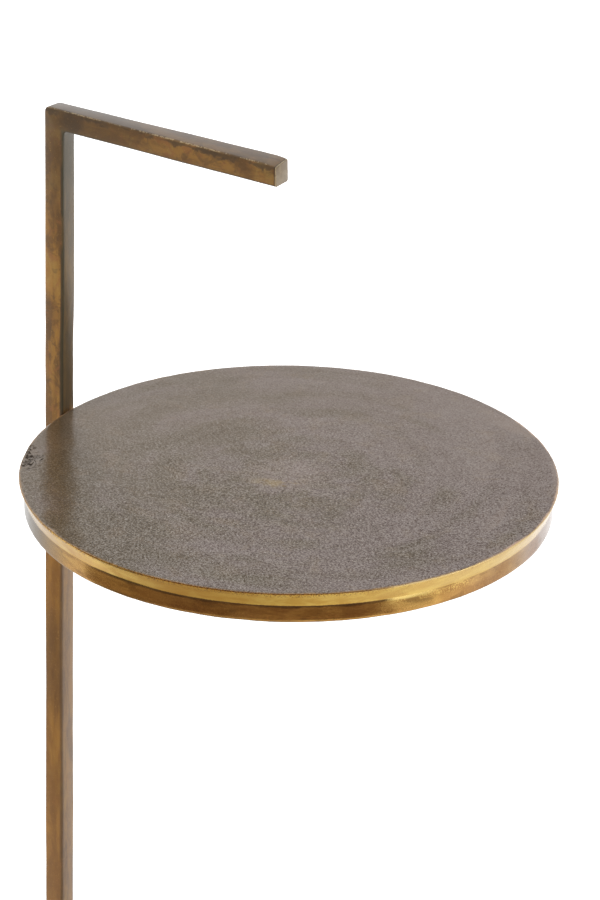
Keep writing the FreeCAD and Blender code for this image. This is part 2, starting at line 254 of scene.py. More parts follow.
def copies_at(model, places):
    """One piece of several copies of a model, each with its own mesh, and the model itself gone."""
    members = []
    for shift in places:
        copy = model.copy()
        copy.data = model.data.copy()
        copy.location = Vector(shift)
        scene.collection.objects.link(copy)
        members.append(copy)
    name = model.name
    bpy.data.objects.remove(model, do_unlink=True)
    choose(*members)
    bpy.ops.object.join()
    settle(members[0])
    members[0].name = name
    return members[0]


def between(low, high, count):
    """Evenly spaced values after the low one, up to and with the high one."""
    return tuple(low + (high - low) * step / count for step in range(1, count + 1))


def share_between(value, low, high):
    """How much of the way from the low to the high value is done, from 0 to 1."""
    return max(0.0, min(1.0, (value - low) / (high - low)))


# Tabletop and base castings

def round_ring(radius, height, middle_x, width, segments):
    """Rounds the edge that runs along one ring about an upright axis."""
    def on_ring(edge, middle):
        run = edge.verts[0].co - edge.verts[1].co
        outer = math.hypot(middle.x - middle_x, middle.y, run.xy.length / 2)
        return (abs(run.z) < SAME and abs(middle.z - height) < 2 * SAME
                and abs(outer - radius) < 4 * SAME)

    pick("EDGE", on_ring)
    bevel_picked(width, segments)


def cast_disc(name, middle_x, radius, foot, face, rings, underside):
    """A disc with a bevelled band over its plain side, drawn from the middle of its face to its
    foot, with rings of points on its face and side, and then along its underside."""
    wall = radius - BAND_INSET
    face_rings, wall_rings = rings
    top = tuple((ring, 0) for ring in between(0, radius, face_rings))
    band = tuple((radius - share * BAND_INSET, -share * BAND_HEIGHT) for share in between(0, 1, 5))
    side = tuple((wall, -drop) for drop in between(BAND_HEIGHT, face - foot, wall_rings))
    disc = turned(name, middle_x, face, ((0, 0),) + top + band + side + underside, 360)
    round_ring(radius, face, middle_x, EDGE_ROUND, 4)
    round_ring(wall, face - BAND_HEIGHT, middle_x, BAND_ROUND, 2)
    round_ring(wall, foot, middle_x, FOOT_ROUND, 3)
    return disc


def roughen_casting(casting, middle_x, face, side):
    """Gives the face and the side of a casting its unevenness and leaves its underside plain."""
    skin = weigh(casting, "skin", lambda point: 1.0 if point.z > face - 0.0005 or
                 math.hypot(point.x - middle_x, point.y) > side else 0.0)
    for width, depth in CAST_LUMPS:
        roughen(casting, width, depth, skin)
    casting.vertex_groups.clear()


def screw_cutters(radius, start, depth):
    """Four upright pins at the screw places, which begin below the face that they cut."""
    height = depth + OVERCUT
    pin = new_primitive("pins", bpy.ops.mesh.primitive_cylinder_add, vertices=32, radius=radius,
                        depth=height, location=(INNER_FACE, 0, start - OVERCUT + height / 2))
    settle(pin)
    return copies_at(pin, SCREW_PLACES)


def patch_share(point):
    """How far a point of the tabletop lies from the patch's middle: 1 at its border."""
    away = point.xy - Vector((TOP_MIDDLE, 0))
    across = away.dot(Vector((math.cos(CROSS_TURN), math.sin(CROSS_TURN))))
    along = away.dot(Vector((math.cos(RUBBED_TURN), math.sin(RUBBED_TURN))))
    return math.hypot((across - PATCH_MIDDLE[0]) / PATCH_SIZE[0],
                      (along - PATCH_MIDDLE[1]) / PATCH_SIZE[1])


def make_tabletop():
    """Cast disc with a turned-down rim, a slot for its arm and four tapped holes."""
    wall = TOP_RADIUS - BAND_INSET
    hollow = wall - RIM_WIDTH
    face = top_high.z
    thickness = face - top_low.z
    plate = face - PLATE_THICKNESS
    underside = tuple((ring, -thickness) for ring in between(wall, hollow, 3))
    underside += tuple((hollow, -drop) for drop in between(thickness, PLATE_THICKNESS, 4))
    underside += tuple((ring, -PLATE_THICKNESS) for ring in between(hollow, 0, 30))
    top = cast_disc("cast_tabletop", TOP_MIDDLE, TOP_RADIUS, top_low.z, face, (64, 5), underside)
    round_ring(hollow, top_low.z, TOP_MIDDLE, FOOT_ROUND, 3)
    round_ring(hollow, plate, TOP_MIDDLE, CAST_ROUND, 4)
    pick("FACE", lambda part, middle: middle.z > face - 0.0003 and patch_share(middle) < 1.1)
    bpy.ops.mesh.subdivide(number_cuts=3)
    settle(top)
    roughen_casting(top, TOP_MIDDLE, face, wall - 0.002)

    def tear(point):
        if point.z < face - 0.0012:
            return 0.0
        return max(0.0, min(1.0, 1.6 - 1.8 * patch_share(point)))

    roughen(top, 0.0045, 0.0007, weigh(top, "torn", tear), "VORONOI")
    top.vertex_groups.clear()

    slot = new_primitive("slot", bpy.ops.mesh.primitive_cube_add, size=1, location=(
        INNER_FACE + SLOT_LENGTH / 2 - OVERCUT, 0, plate - SLOT_DEPTH / 2))
    bpy.ops.transform.resize(value=(SLOT_LENGTH + 2 * OVERCUT, SLOT_WIDTH, SLOT_DEPTH))
    settle(slot)
    cut_from(top, slot)
    cut_from(top, screw_cutters(TAP_RADIUS, plate, TAP_DEPTH))
    smooth(top, 34)
    return top


def arm_block(name, floor, height, spread=0.0):
    """A flat arm: a neck as wide as the bar that widens and ends in rounded corners. With a
    spread it is the cutter of the arm's channel, larger all round and with square corners."""
    start = INNER_FACE - (2 * OVERCUT if spread else 0)
    flare = (ARM_WIDTH - BAR_WIDTH) / 2
    neck_end = INNER_FACE + NECK_LENGTH
    neck_width = BAR_WIDTH + 2 * spread
    arm_end = arm_high.x + spread
    arm = new_primitive(name, bpy.ops.mesh.primitive_plane_add, size=1,
                        location=((start + neck_end) / 2, 0, floor))
    bpy.ops.transform.resize(value=(neck_end - start, neck_width, 1))
    pick("EDGE", lambda part, middle: middle.x > neck_end - NEAR)
    bpy.ops.mesh.extrude_edges_move(TRANSFORM_OT_translate={"value": (flare, 0, 0)})
    bpy.ops.transform.resize(value=(1, (ARM_WIDTH + 2 * spread) / neck_width, 1))
    step = (arm_end - neck_end - flare, 0, 0)
    bpy.ops.mesh.extrude_edges_move(TRANSFORM_OT_translate={"value": step})
    pick("VERT", lambda part, middle: middle.x > arm_end - NEAR)
    if not spread:
        bevel_picked(ARM_CORNER, 8, "VERTICES")
    bpy.ops.mesh.select_all(action="SELECT")
    extrude(0, 0, height)
    close_seams()
    settle(arm)
    return arm


def make_arm():
    """Flat steel arm under the tabletop, with eased edges."""
    thickness = arm_high.z - arm_low.z
    arm = arm_block("flat_arm", arm_low.z, thickness)
    cut_from(arm, screw_cutters(ARM_HOLE_RADIUS, arm_low.z, thickness + OVERCUT))
    finish_with(arm, "BEVEL", width=ARM_EASE, segments=2, limit_method="ANGLE",
                angle_limit=math.radians(40))
    smooth(arm, 34)
    return arm


def make_base():
    """Solid cast disc with a channel for its arm in the underside."""
    wall = BASE_RADIUS - BAND_INSET
    face = base_high.z
    underside = tuple((ring, base_low.z - face) for ring in between(wall, 0, 24))
    base = cast_disc("cast_base", 0, BASE_RADIUS, base_low.z, face, (60, 3), underside)
    settle(base)
    roughen_casting(base, 0, face, wall - 0.0005)
    start = base_low.z - 2 * OVERCUT
    cut_from(base, arm_block("channel", start, channel_roof - start, CHANNEL_GAP))
    cut_from(base, screw_cutters(TAP_RADIUS, channel_roof, TAP_DEPTH))
    smooth(base, 34)
    return base


def make_felt():
    """Round felt sheet with a cut edge that is slightly furred."""
    thickness = felt_high.z - felt_low.z
    rim = FELT_RADIUS - 0.0005
    top = tuple((ring, thickness) for ring in between(0, rim, 30))
    edge = ((FELT_RADIUS, thickness - 0.0006), (FELT_RADIUS, thickness / 2), (FELT_RADIUS, 0.0006))
    under = ((rim, 0),) + tuple((ring, 0) for ring in between(rim, 0, 30))
    felt = turned("felt_sheet", 0, felt_low.z, ((0, thickness),) + top + edge + under, 300)
    settle(felt)
    furred = weigh(felt, "edge", lambda point: 1.0 if point.xy.length > FELT_RADIUS - 0.001
                   and 0.0002 < point.z < thickness - 0.0002 else 0.0)
    roughen(felt, 0.003, 0.0005, furred)
    felt.vertex_groups.clear()
    smooth(felt, 50)
    return felt


# Stem with its handle

def lift_of(point):
    """How far a point of the bar strays upwards with its hand-bent handle."""
    along = share_between(point.x, stem_low.x, stem_high.x)
    back = share_between(point.y, -BAR_WIDTH / 2, BAR_WIDTH / 2)
    high = share_between(point.z, UNDER_HANDLE, stem_high.z)
    front_lift, back_lift, under_lift = (
        bend + (tip - bend) * along for bend, tip in (FRONT_LIFT, BACK_LIFT, UNDER_LIFT))
    top_lift = front_lift * (1 - back) + back_lift * back
    return ((under_lift * (1 - high) + top_lift * high)
            * share_between(point.z, UNDER_HANDLE - BEND_REACH, UNDER_HANDLE))


def swell_of(point):
    """How much of its swell the column's inner side has at a point."""
    if point.x < INNER_FACE - BAR_WIDTH / 2:
        return 0.0
    return share_between(point.z, *SWELL_START) * (1 - share_between(point.z, *SWELL_END))


def make_stem():
    """Square bar from the base to the handle's tip, hand-worked and slightly uneven."""
    tip = stem_high.x
    foot = stem_low.z
    bar = new_primitive("square_bar", bpy.ops.mesh.primitive_plane_add, size=BAR_WIDTH,
                        location=(INNER_FACE - BAR_WIDTH / 2, 0, foot))
    pick("FACE", lambda part, middle: True)
    for rise in (UNDER_HANDLE - foot, BAR_WIDTH):
        extrude(0, 0, rise)
    close_seams()
    pick("FACE", lambda part, middle: middle.z > UNDER_HANDLE + NEAR and part.normal.x > 0.9)
    extrude(tip - INNER_FACE, 0, 0)
    close_seams()
    for corner_x, corner_z, width, segments in ((INNER_FACE, UNDER_HANDLE, INNER_ELBOW, 5),
                                                (stem_low.x, stem_high.z, OUTER_ELBOW, 4)):
        pick("EDGE", lambda part, middle: abs(middle.x - corner_x) < NEAR
             and abs(middle.z - corner_z) < NEAR and abs(middle.y) < NEAR)
        bevel_picked(width, segments)
    for axis, cuts in ((2, 170), (0, 38)):
        pick("EDGE", lambda part, middle: abs((part.verts[0].co - part.verts[1].co)[axis]) > 0.1)
        bpy.ops.mesh.subdivide(number_cuts=cuts)
    for behind, drop in TIP_DROPS:
        pick("VERT", lambda part, middle: abs(middle.x - tip + behind) < 0.001
             and middle.z > stem_high.z - 0.002)
        bpy.ops.transform.translate(value=(0, 0, drop))

    def ends_bar(edge):
        points = [bar.matrix_world @ point.co for point in edge.verts]
        return (all(abs(point.x - tip) < NEAR for point in points)
                or all(abs(point.z - foot) < NEAR for point in points))

    for at_end, width, segments in ((False, BAR_ROUND, 4), (True, TIP_ROUND, 2)):
        pick("EDGE", lambda part, middle: part.calc_face_angle(0) > math.radians(60)
             and ends_bar(part) == at_end)
        bevel_picked(width, segments)
    close_seams()
    settle(bar)
    strays = (("Z", LIFT_LIMIT, weigh(bar, "up", lambda point: lift_of(point) / LIFT_LIMIT)),
              ("Z", -LIFT_LIMIT, weigh(bar, "down", lambda point: -lift_of(point) / LIFT_LIMIT)),
              ("X", SWELL, weigh(bar, "swell", swell_of)))
    for direction, reach, group in strays:
        finish_with(bar, "DISPLACE", direction=direction, strength=reach, mid_level=0,
                    vertex_group=group)
    bar.vertex_groups.clear()
    for width, depth in BAR_LUMPS:
        roughen(bar, width, depth)
    smooth(bar, 40)
    return bar


def make_weld():
    """Rippled bead in the corner between the stem and the tabletop's arm."""
    bead = new_primitive("weld_bead", bpy.ops.mesh.primitive_cylinder_add, vertices=24,
                         radius=BEAD_RADIUS, depth=BEAD_LENGTH, rotation=(math.pi / 2, 0, 0),
                         location=(INNER_FACE + 0.0004, 0, arm_low.z - 0.0002))
    pick("EDGE", lambda part, middle: abs(part.verts[0].co.z - part.verts[1].co.z) > 0.005)
    bpy.ops.mesh.subdivide(number_cuts=20)
    settle(bead)
    bpy.ops.object.mode_set(mode="EDIT")
    for ripple in range(-4, 5, 2):
        pick("VERT", lambda part, middle: abs(middle.y - ripple * RIPPLE_STEP) < 0.0003)
        bpy.ops.transform.resize(value=(1.14, 1, 1.14))
    settle(bead)
    roughen(bead, 0.002, 0.0003)
    smooth(bead, 60)
    return bead


# Screws and washers

def make_top_screws():
    """Button-head screws with hexagon sockets."""
    outline = ((0, -HEAD_HEIGHT), (0.0012, -0.00279), (0.0024, -0.0026), (0.0034, -0.0021),
               (0.0041, -0.0014), (0.00455, -0.0007), (0.00475, -0.0002), (0.00465, 0),
               (0.0025, 0), (0.0025, 0.0115), (0.0020, 0.012), (0, 0.012))
    screw = turned("button_screws", INNER_FACE, washer_seat, outline, 40)
    settle(screw)
    socket = new_primitive("socket", bpy.ops.mesh.primitive_cylinder_add, vertices=6,
                           radius=SOCKET_RADIUS, depth=2 * SOCKET_DEPTH,
                           location=(INNER_FACE, 0, washer_seat - HEAD_HEIGHT))
    settle(socket)
    cut_from(screw, socket)
    smooth(screw, 30)
    return copies_at(screw, SCREW_PLACES)


def make_top_washers():
    """Flat washers with eased edges."""
    outline = ((0.00275, 0.00012), (0.00287, 0), (0.00485, 0), (0.005, 0.00015),
               (0.005, 0.00085), (0.00485, 0.001), (0.00287, 0.001), (0.00275, 0.00088))
    washer = turned("flat_washers", INNER_FACE, washer_seat, outline, 40, closed=True)
    settle(washer)
    smooth(washer, 30)
    return copies_at(washer, SCREW_PLACES)


# Finishes

def as_light(colour):
    """A colour given as it looks, from 0 to 255, as the light that it gives back. What a
    socket gives stays as it is."""
    if isinstance(colour, Value):
        return colour
    values = []
    for value in colour:
        value /= 255
        values.append(value / 12.92 if value <= 0.04045 else ((value + 0.055) / 1.055) ** 2.4)
    return (*values, 1)


class Value:
    """What a socket gives, with ordinary arithmetic."""

    def __init__(self, finish, socket):
        self.finish = finish
        self.socket = socket

    def __add__(self, other):
        return self.finish.math("ADD", self, other)

    __radd__ = __add__

    def __sub__(self, other):
        return self.finish.math("SUBTRACT", self, other)

    def __rsub__(self, other):
        return self.finish.math("SUBTRACT", other, self)

    def __mul__(self, other):
        return self.finish.math("MULTIPLY", self, other)

    __rmul__ = __mul__

    def __truediv__(self, other):
        return self.finish.math("DIVIDE", self, other)

    def __abs__(self):
        return self.finish.math("ABSOLUTE", self)


class Shading:
    """The nodes of one material, or of the world."""

    def __init__(self, owner):
        owner.use_nodes = True
        self.tree = owner.node_tree
        self.tree.nodes.clear()
        self.place = self.node("ShaderNodeTexCoord", "Object")
        self.x = self.node("ShaderNodeSeparateXYZ", "X", sockets={0: self.place})
        split = self.x.socket.node
        self.y = Value(self, split.outputs["Y"])
        self.z = Value(self, split.outputs["Z"])

    def node(self, kind, output=0, settings=None, sockets=None):
        """A node of any kind: its settings first, then the values or links of its sockets."""
        made = self.tree.nodes.new(kind)
        for name, value in (settings or {}).items():
            setattr(made, name, value)
        for name, value in (sockets or {}).items():
            self.feed(made.inputs[name], value)
        return Value(self, made.outputs[output]) if made.outputs else None

    def feed(self, socket, value):
        if isinstance(value, Value):
            self.tree.links.new(value.socket, socket)
        else:
            socket.default_value = value

    def math(self, operation, *values):
        return self.node("ShaderNodeMath", settings={"operation": operation},
                         sockets=dict(enumerate(values)))

    def root_of_squares(self, across, along):
        return self.math("SQRT", across * across + along * along)

    def distance(self, x, y):
        """How far a point is, seen from above, from an upright line."""
        return self.root_of_squares(self.x - x, self.y - y)

    def ramp(self, value, low, high):
        """0 below low and 1 above high, with a soft change between."""
        return self.node("ShaderNodeMapRange", settings={"interpolation_type": "SMOOTHSTEP"},
                         sockets={"Value": value, "From Min": low, "From Max": high})

    def fade(self, value, low, high):
        """1 below low and 0 above high, with a soft change between."""
        return 1 - self.ramp(value, low, high)

    def seen_directly(self):
        """1 for the camera, for reflections and through glass, and 0 for light on things."""
        reflected = self.math("MAXIMUM", self.node("ShaderNodeLightPath", "Is Glossy Ray"),
                              self.node("ShaderNodeLightPath", "Is Transmission Ray"))
        return self.math("MAXIMUM", self.node("ShaderNodeLightPath", "Is Camera Ray"), reflected)


class Finish(Shading):
    """One material, painted by expressions on a piece's own coordinates."""

    def __init__(self, name):
        self.material = bpy.data.materials.new(name)
        super().__init__(self.material)
        surface = self.node("ShaderNodeBsdfPrincipled")
        self.shader = surface.socket.node
        self.node("ShaderNodeOutputMaterial", sockets={"Surface": surface})

    def toward(self, middle_x, bearing):
        """How far a point lies from the middle of a disc in one direction."""
        return (self.x - middle_x) * math.cos(bearing) + self.y * math.sin(bearing)

    def clouds(self, size, detail=3.0, roughness=0.55, length=(1, 1, 1), warp=0.0, turn=0.0):
        """Soft noise from 0 to 1 whose lumps are about one size across, turned about the
        upright axis and drawn out."""
        place = self.node("ShaderNodeMapping", settings={"vector_type": "TEXTURE"}, sockets={
            "Vector": self.place, "Rotation": (0, 0, turn), "Scale": length})
        return self.node("ShaderNodeTexNoise", "Fac", sockets={
            "Vector": place, "Scale": 1 / size, "Detail": detail, "Roughness": roughness,
            "Distortion": warp})

    def arcs(self, middle_x, size, length, detail=3.0, roughness=0.6):
        """Noise drawn out round the middle of a disc, as marks of its turning."""
        reach = self.distance(middle_x, 0) + 0.002
        place = self.node("ShaderNodeCombineXYZ", sockets={
            "X": (self.x - middle_x) / reach * length, "Y": self.y / reach * length, "Z": reach})
        return self.node("ShaderNodeTexNoise", "Fac", sockets={
            "Vector": place, "Scale": 1 / size, "Detail": detail, "Roughness": roughness})

    def blend(self, mask, below, above):
        """One colour where the mask is 0 and another where it is 1."""
        return self.node("ShaderNodeMix", 2, settings={"data_type": "RGBA"},
                         sockets={0: mask, 6: as_light(below), 7: as_light(above)})

    def coated(self, colour, *coats):
        """A colour under thin coats, each a mask and the colour that shows where it is 1."""
        for mask, coat in coats:
            colour = self.blend(mask, colour, coat)
        return colour

    def dress(self, **looks):
        for name, value in looks.items():
            self.feed(self.shader.inputs[name.replace("_", " ").title().replace("Ior", "IOR")],
                      value)

    def relief(self, height, depth):
        """Small surface relief, in metres for a height from 0 to 1."""
        bump = self.node("ShaderNodeBump", "Normal", sockets={
            "Strength": 1.0, "Distance": depth, "Height": height})
        self.feed(self.shader.inputs["Normal"], bump)


def cast_finish(name, middle_x, face, radius, thickness, torn_patch=False):
    """Sand-cast bronze: a brown patinated face, a polished bevel and a rubbed dark side, with
    painted highlights, painted dark reflections and painted reflection tints on the face's rim, the
    bevel and the side.
    """
    finish = Finish(name)
    reach = finish.distance(middle_x, 0)
    drop = face - finish.z
    toward_front = finish.toward(middle_x, RUBBED_TURN)
    toward_right = finish.toward(middle_x, CROSS_TURN)
    grain = finish.clouds(0.0011, 2.0, 0.6, (0.85, 1, 1), 0.5, RUBBED_TURN)
    wisps = finish.clouds(0.0024, 3.0, 0.7, (1, 1, 1), 1.4, RUBBED_TURN)
    tone = finish.clouds(0.008, 3.0, 0.6, warp=1.0)
    speck = finish.clouds(0.0009, 2.0, 0.5)
    broad = finish.clouds(0.050, 3.0, 0.6)
    drift = finish.clouds(0.016, 3.0, 0.6, warp=0.6)
    rings = finish.arcs(middle_x, 0.016, 0.030, 1.5)

    # Patinated face, lighter and less mottled towards its far side and at both ends, with a painted
    # highlight on its rim and rings at the right end
    smoother = finish.ramp((broad - 0.5) * 0.10 - toward_front + abs(toward_right) * 0.3,
                           -0.06, 0.15)
    mottle = ((grain - 0.5) * 7.4 + (wisps - 0.5) * 0.4) * (1 - smoother * 0.7)
    mottle = mottle + (tone - 0.5) * 0.1 + (rings - 0.5) * 0.5
    violet = finish.ramp(toward_right + (broad - 0.5) * 0.30 + (rings - 0.5) * 0.5, -0.12, 0.12)
    middle = finish.fade(reach + (drift - 0.5) * 0.02, 0.010, 0.034)
    brassy = finish.fade(finish.root_of_squares(
        (toward_right + 0.006) / 0.017, (toward_front - 0.010) / 0.008), 0.3, 1.3)
    rim_wear = finish.ramp(reach + (drift - 0.5) * 0.003, radius - 0.0020, radius - 0.0003)
    # Painted highlight: the face's rim and its rings paler at the right end
    right_end_highlight = finish.ramp(toward_right, 0.105, 0.135)
    skin = finish.coated(
        (91, 74, 48),
        (violet, (107, 88, 80)),
        (finish.ramp(drift, 0.50, 0.70) * 0.4, (114, 91, 62)),
        (smoother * 0.35, (126, 107, 92)),
        (middle * 0.4, (138, 118, 106)),
        (mottle * 0.25, (166, 149, 128)),
        (mottle * -0.40, (30, 19, 8)),
        (brassy * finish.ramp(drift, 0.44, 0.58) * 0.5, (154, 128, 70)),
        (rim_wear * 0.6, (184, 146, 104)),
        (rim_wear * right_end_highlight * 0.7, (236, 196, 168)),
        (right_end_highlight * finish.ramp(rings, 0.52, 0.62) * 0.3, (150, 128, 112)))

    # Polished bevel with a frayed upper edge, a painted dark reflection left of its middle, a
    # painted reflection tint at its left end, and painted highlights on its right part and its
    # upper edge there
    polish = finish.clouds(0.012, 4.0, 0.6, (1, 1, 0.33))
    tarnish = finish.clouds(0.026, 3.0, 0.6, (1, 1, 0.5))
    # Painted dark reflection on the bevel and the side, left of the middle
    dark_reflection = finish.fade(abs(toward_right + 0.05), 0.018, 0.05)
    # Painted reflection tint on the bevel and the side at the left end
    left_end_reflection = finish.fade(toward_right, -0.156, -0.105)
    corner = finish.fade(drop, 0.0004, 0.0014)
    # Painted highlight on the bevel's upper edge, at its right part
    right_edge_highlight = finish.ramp(toward_right + (drift - 0.5) * 0.04, 0.02, 0.07)
    frays = finish.ramp(speck, 0.44, 0.56)
    nibbles = finish.fade(drop, 0.0010, 0.0040) * finish.ramp(speck, 0.50, 0.60)
    gold = finish.coated(
        (200, 154, 62),
        (finish.ramp(polish, 0.35, 0.65), (218, 178, 84)),
        (finish.ramp(tarnish, 0.46, 0.62) * 0.5, (186, 132, 46)),
        # Painted highlight: the right part of the bevel paler
        (finish.ramp(toward_right, 0.0, 0.10) * 0.33, (204, 184, 118)),
        (dark_reflection * 0.4, (180, 126, 38)),
        (left_end_reflection * 0.3, (190, 144, 52)),
        (corner * (1 - right_edge_highlight) * (frays * 0.6 + 0.1), (128, 92, 50)),
        (nibbles * (1 - right_edge_highlight * 0.6) * 0.75, (124, 86, 42)),
        (corner * right_edge_highlight * 0.6, (232, 208, 160)))

    # Rubbed side, with a painted dark reflection under the bevel, a painted highlight and painted
    # glints below the bevel at its right, and painted reflection tints at both ends
    streaks = finish.clouds(0.020, 4.0, 0.6, (1, 1, 0.22), 0.4)
    foot = finish.ramp(drop + (speck - 0.5) * 0.006, BAND_HEIGHT + 0.005, thickness)
    dull = finish.ramp(finish.clouds(0.030, 3.0), 0.45, 0.65)
    # Painted reflection tint at the far left end of the side
    far_left_reflection = finish.fade(toward_right, -0.153, -0.128)
    # Painted dark reflection: a dark strip under the bevel, in the middle
    dark_strip_reflection = (finish.fade(drop + (polish - 0.5) * 0.003, BAND_HEIGHT + 0.0006,
                            BAND_HEIGHT + 0.0022)
                * finish.fade(abs(toward_right + 0.02), 0.07, 0.11))
    # Painted highlight just under the bevel, right of the middle
    lip_highlight = (finish.ramp(toward_right, 0.056, 0.064) * finish.fade(toward_right, 0.068, 0.095)
           * finish.fade(drop + (polish - 0.5) * 0.002, BAND_HEIGHT + 0.0010,
                         BAND_HEIGHT + 0.0024))
    # Painted glints below that highlight, on the right part of the side
    painted_glints = (finish.ramp(toward_right, 0.050, 0.066) * finish.fade(toward_right, 0.096, 0.120)
               * finish.fade(drop, BAND_HEIGHT + 0.002, BAND_HEIGHT + 0.006)
               * finish.ramp(speck * 0.5 + polish * 0.5, 0.45, 0.60))
    side = finish.coated(
        (160, 118, 54),
        (finish.ramp(streaks, 0.35, 0.65), (190, 148, 76)),
        (foot * finish.ramp(speck, 0.44, 0.60) * 0.35, (214, 150, 84)),
        (dark_reflection * 0.35, (112, 74, 28)),
        # Painted reflections: the side paler, then greyer, towards its right end
        (finish.ramp(toward_right, 0.085, 0.12) * 0.5, (156, 124, 94)),
        (finish.ramp(toward_right, 0.128, 0.150) * 0.7, (168, 158, 158)),
        (dull * 0.5, (142, 96, 44)),
        (finish.ramp(speck, 0.53, 0.66) * 0.14, (218, 178, 100)),
        (finish.fade(polish, 0.34, 0.47) * 0.30, (84, 56, 22)),
        (left_end_reflection * 0.5, (122, 98, 66)),
        (far_left_reflection * 0.8, (92, 84, 68)),
        (dark_strip_reflection * 0.8, (80, 54, 20)),
        (lip_highlight * 0.8, (252, 220, 134)),
        (painted_glints * 0.4, (246, 214, 122)))
    raw = finish.blend(finish.ramp(grain, 0.3, 0.7), (58, 48, 38), (92, 78, 60))

    # Where each of them shows
    frayed = (speck - 0.5) * 0.0012 + (drift - 0.5) * 0.0010
    on_band = finish.ramp(drop - (radius - reach) * 1.2 + frayed, -0.0008, -0.0003)
    below_band = finish.ramp(drop + (speck - 0.5) * 0.0006, BAND_HEIGHT - 0.0001,
                             BAND_HEIGHT + 0.0002)
    wall = radius - BAND_INSET
    outside = finish.ramp(reach, wall - 0.0035, wall - 0.0015)
    underneath = finish.ramp(drop, thickness - 0.0006, thickness - 0.0001)
    hidden = finish.math("MAXIMUM", below_band * (1 - outside), underneath)
    colour = finish.coated(skin, (on_band, gold), (below_band, side), (hidden, raw))

    metal = finish.math("MAXIMUM", 0.05 - mottle * 0.15, 0.0) * (1 - on_band)
    metal = metal + on_band - hidden * 0.6
    gloss = 0.25 - mottle * 0.03 - on_band * 0.09 + below_band * 0.03 + hidden * 0.25
    grit = (grain * 0.6 + wisps * 0.8) * (1 - smoother * 0.5)
    if torn_patch:
        share = finish.root_of_squares((toward_right - PATCH_MIDDLE[0]) / PATCH_SIZE[0],
                                       (toward_front - PATCH_MIDDLE[1]) / PATCH_SIZE[1])
        near = finish.fade(share + (drift - 0.5) * 1.2, 0.7, 1.1) * (1 - on_band)
        folds = finish.clouds(0.0050, 2.0, 0.5, (2.2, 1, 1), 1.4, RUBBED_TURN - 0.45)
        lines = finish.fade(abs(folds - 0.5), 0.016, 0.066)
        broken = finish.ramp(finish.clouds(0.0045, 2.0, 0.5), 0.28, 0.42)
        torn = near * lines * broken
        mottle = mottle * (1 - near * 0.7) - near * 0.1 - torn
        colour = finish.coated(colour, (near * 0.35, (128, 115, 104)), (torn * 0.9, (30, 20, 11)))
        metal = metal * (1 - torn) + torn * 0.3
        grit = grit - torn * 1.8
        gloss = gloss + near * 0.08 + torn * 0.3
    shine = ((0.66 + mottle * 0.8 - mottle * mottle * 0.25) * (1 - on_band)
             + on_band * 0.35 - hidden)
    finish.dress(base_color=colour, metallic=metal, roughness=gloss, ior=1.20,
                 coat_weight=shine, coat_roughness=0.19)
    finish.relief(grit * (1 - on_band * 0.95 + below_band * 0.12), 0.00008)
    return finish.material


